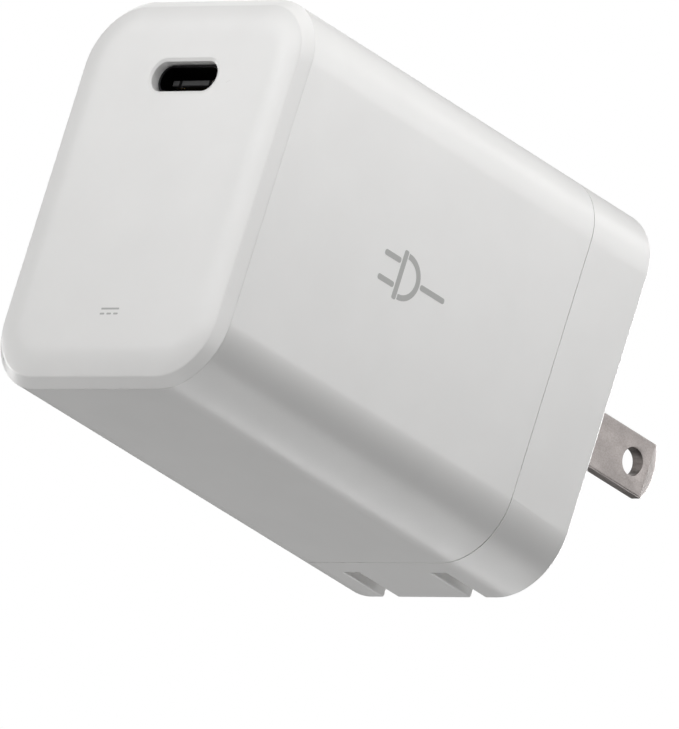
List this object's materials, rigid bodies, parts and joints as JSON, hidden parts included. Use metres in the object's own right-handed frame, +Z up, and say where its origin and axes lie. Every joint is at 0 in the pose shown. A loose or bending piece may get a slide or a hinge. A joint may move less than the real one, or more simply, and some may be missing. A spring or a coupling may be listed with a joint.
{
  "type": "folding-blade usb-c power adapter",
  "caption": "Compact rounded power adapter with a USB-C port in the front and flat folding mains blades behind.",
  "frame": {"origin": "on the wall face, midway between the two blades and at their mid-height, which is also the middle of the body", "axes": "+Y points out of the wall face along the extended blades, +Z up, +X to the right seen from the port; the port face is at -Y"},
  "size_m": [0.033, 0.0734, 0.0434],
  "materials": {
    "casing_plastic": "satin moulded",
    "bracket_plastic": "satin moulded",
    "carrier_plastic": "satin moulded",
    "nickel_plate": "satin plated",
    "spring_bronze": "rolled",
    "spring_steel": "rolled",
    "receptacle_steel": "black plated",
    "receptacle_plastic": "moulded",
    "gold_plate": "plated",
    "board_laminate": "solder mask",
    "chip_epoxy": "moulded",
    "opto_plastic": "moulded",
    "ferrite": "sintered",
    "choke_ferrite": "coated",
    "copper_wire": "enamelled",
    "copper_sheet": "rolled",
    "winding_tape": "film",
    "bobbin_plastic": "moulded",
    "capacitor_sleeve": "shrunk film",
    "can_aluminium": "drawn",
    "film_box": "moulded",
    "ceramic_blue": "dipped",
    "ceramic_green": "dipped",
    "fuse_body": "moulded",
    "solder": "tinned",
    "thermal_silicone": "soft",
    "insulating_film": "film",
    "wire_brown": "sleeved",
    "wire_blue": "sleeved"
  },
  "bodies": {
    "casing": {"front_cap": "casing_plastic", "main_sleeve": "casing_plastic", "rear_cap": "casing_plastic", "prong_bracket": "bracket_plastic", "live_contact_spring": "spring_bronze", "neutral_contact_spring": "spring_bronze", "detent_spring": "spring_steel", "live_wire": "wire_brown", "neutral_wire": "wire_blue", "usb_shell": "receptacle_steel", "usb_insulator": "receptacle_plastic", "usb_contacts": "gold_plate", "output_board": "board_laminate", "pd_controller": "chip_epoxy", "sync_rectifier": "chip_epoxy", "output_capacitors": "can_aluminium", "main_board": "board_laminate", "transformer_core_lower": "ferrite", "transformer_core_upper": "ferrite", "transformer_bobbin": "bobbin_plastic", "transformer_winding": "copper_wire", "transformer_tape": "winding_tape", "transformer_base": "bobbin_plastic", "bulk_capacitor_front": "capacitor_sleeve", "bulk_capacitor_rear": "capacitor_sleeve", "choke_core": "choke_ferrite", "choke_windings": "copper_wire", "x_capacitor": "film_box", "y_capacitor": "ceramic_blue", "fuse": "fuse_body", "thermistor": "ceramic_green", "bridge_rectifier": "chip_epoxy", "optocoupler": "opto_plastic", "gan_switch": "chip_epoxy", "component_leads": "solder", "thermal_pad": "thermal_silicone", "heat_spreader": "copper_sheet", "insulating_sleeve": "insulating_film"},
    "prongs": {"prong_carrier": "carrier_plastic", "live_blade": "nickel_plate", "neutral_blade": "nickel_plate"}
  },
  "joints": [
    {"name": "prong_fold", "type": "hinge", "parent": "casing", "child": "prongs", "pos_m": [0, -0.00325, 0], "axis": [-1, 0, 0], "range_deg": [0, 90], "deforming": ["detent_spring"]}
  ]
}
